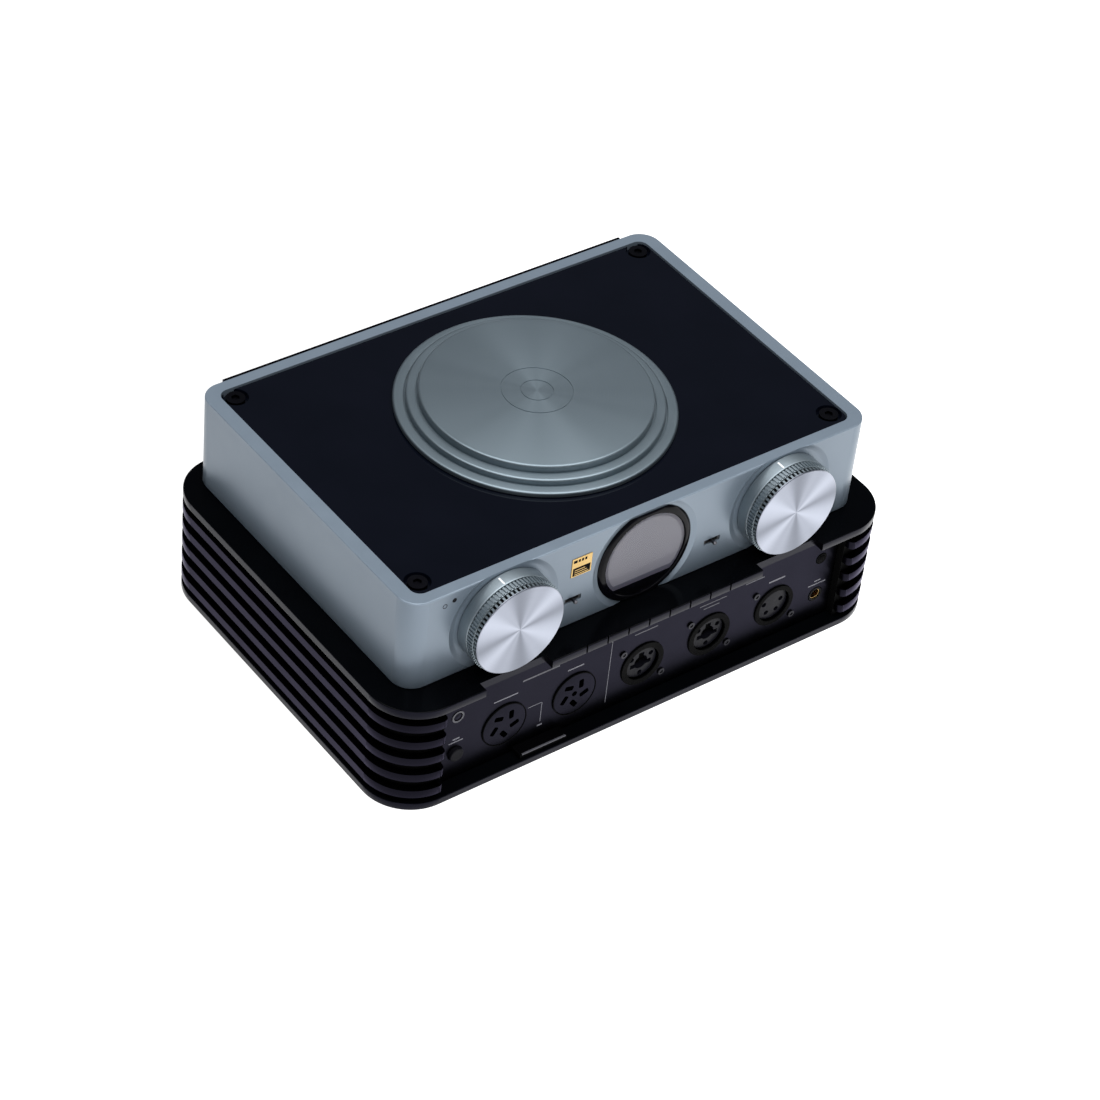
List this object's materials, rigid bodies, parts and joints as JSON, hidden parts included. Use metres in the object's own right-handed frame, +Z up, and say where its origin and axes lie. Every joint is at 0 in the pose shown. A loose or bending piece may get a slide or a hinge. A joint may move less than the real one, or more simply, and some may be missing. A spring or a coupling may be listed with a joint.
{
  "type": "headphone amplifier",
  "caption": "Two-storey desktop headphone amplifier with rotary controls, round display, finned lower case, round sockets, lever switches and slide-in bias card.",
  "frame": {"origin": "middle of the footprint box, on the surface that the feet stand on", "axes": "+X to the right seen from the front, front faces -Y, +Z up"},
  "size_m": [0.256, 0.185, 0.12],
  "materials": {
    "satin_aluminium": "satin anodised",
    "bright_aluminium": "turned and polished",
    "grey_aluminium": "satin anodised grey",
    "gloss_black": "gloss black",
    "satin_black_metal": "satin black anodised",
    "socket_black": "moulded black",
    "black_plastic": "moulded black",
    "clear_glass": "clear",
    "screen_face": "blank grey screen",
    "steel": "machined",
    "gold_plate": "gold plated",
    "board_green": "coated laminate",
    "iron_core": "varnished core",
    "rubber": "matte"
  },
  "bodies": {
    "chassis": {"upper_case": "satin_aluminium", "top_disc": "satin_aluminium", "top_panel": "gloss_black", "display_bezel": "gloss_black", "base_plate": "satin_black_metal", "deck_plate": "satin_black_metal", "fin_wrap_left": "satin_black_metal", "fin_wrap_right": "satin_black_metal", "front_panel": "satin_black_metal", "lower_rear_panel": "satin_black_metal", "upper_rear_panel": "satin_black_metal", "energiser_socket_left": "socket_black", "energiser_socket_right": "socket_black", "combo_socket_left": "socket_black", "combo_socket_right": "socket_black", "balanced_socket": "socket_black", "line_in_left": "socket_black", "line_in_right": "socket_black", "dc_inlet": "socket_black", "power_switch": "black_plastic", "card_slot": "black_plastic", "bass_switch": "black_plastic", "width_switch": "black_plastic", "volume_pot": "black_plastic", "selector_encoder": "black_plastic", "valve_socket_left": "black_plastic", "valve_socket_right": "black_plastic", "capacitor_left": "black_plastic", "capacitor_right": "black_plastic", "remote_window": "black_plastic", "display_lens": "clear_glass", "valve_left": "clear_glass", "valve_right": "clear_glass", "display_module": "screen_face", "power_light": "screen_face", "status_light": "screen_face", "volume_nut": "steel", "selector_nut": "steel", "rca_in_left": "steel", "rca_in_right": "steel", "balanced_jack": "gold_plate", "main_board": "board_green", "upper_board": "board_green", "bias_transformer": "iron_core", "foot_front_left": "rubber", "foot_front_right": "rubber", "foot_rear_left": "rubber", "foot_rear_right": "rubber"},
    "volume_knob": {"volume_collar": "grey_aluminium", "volume_grip": "grey_aluminium", "volume_cap": "bright_aluminium", "volume_shaft": "steel"},
    "selector_knob": {"selector_collar": "grey_aluminium", "selector_grip": "grey_aluminium", "selector_cap": "bright_aluminium", "selector_shaft": "steel"},
    "bass_switch_lever": {"bass_lever": "bright_aluminium"},
    "width_switch_lever": {"width_lever": "bright_aluminium"},
    "power_button": {"power_button": "black_plastic"},
    "bias_card": {"bias_card": "black_plastic"}
  },
  "joints": [
    {"name": "volume_turn", "type": "hinge", "parent": "chassis", "child": "volume_knob", "pos_m": [0.0706, -0.0783, 0.0898], "axis": [0, -1, 0], "range_deg": [-150, 150]},
    {"name": "selector_turn", "type": "hinge", "parent": "chassis", "child": "selector_knob", "pos_m": [-0.0706, -0.0783, 0.0898], "axis": [0, -1, 0], "continuous": true},
    {"name": "bass_throw", "type": "hinge", "parent": "chassis", "child": "bass_switch_lever", "pos_m": [-0.0358, -0.0721, 0.0815], "axis": [0, 0, 1], "range_deg": [-14, 14]},
    {"name": "width_throw", "type": "hinge", "parent": "chassis", "child": "width_switch_lever", "pos_m": [0.0358, -0.0721, 0.0815], "axis": [0, 0, 1], "range_deg": [-14, 14]},
    {"name": "power_push", "type": "slide", "parent": "chassis", "child": "power_button", "axis": [0, 1, 0], "range_m": [0, 0.0015], "stiffness_N_per_m": 500, "springref_m": -0.001},
    {"name": "card_pull", "type": "slide", "parent": "chassis", "child": "bias_card", "axis": [0, -1, 0], "range_m": [0, 0.02]}
  ]
}
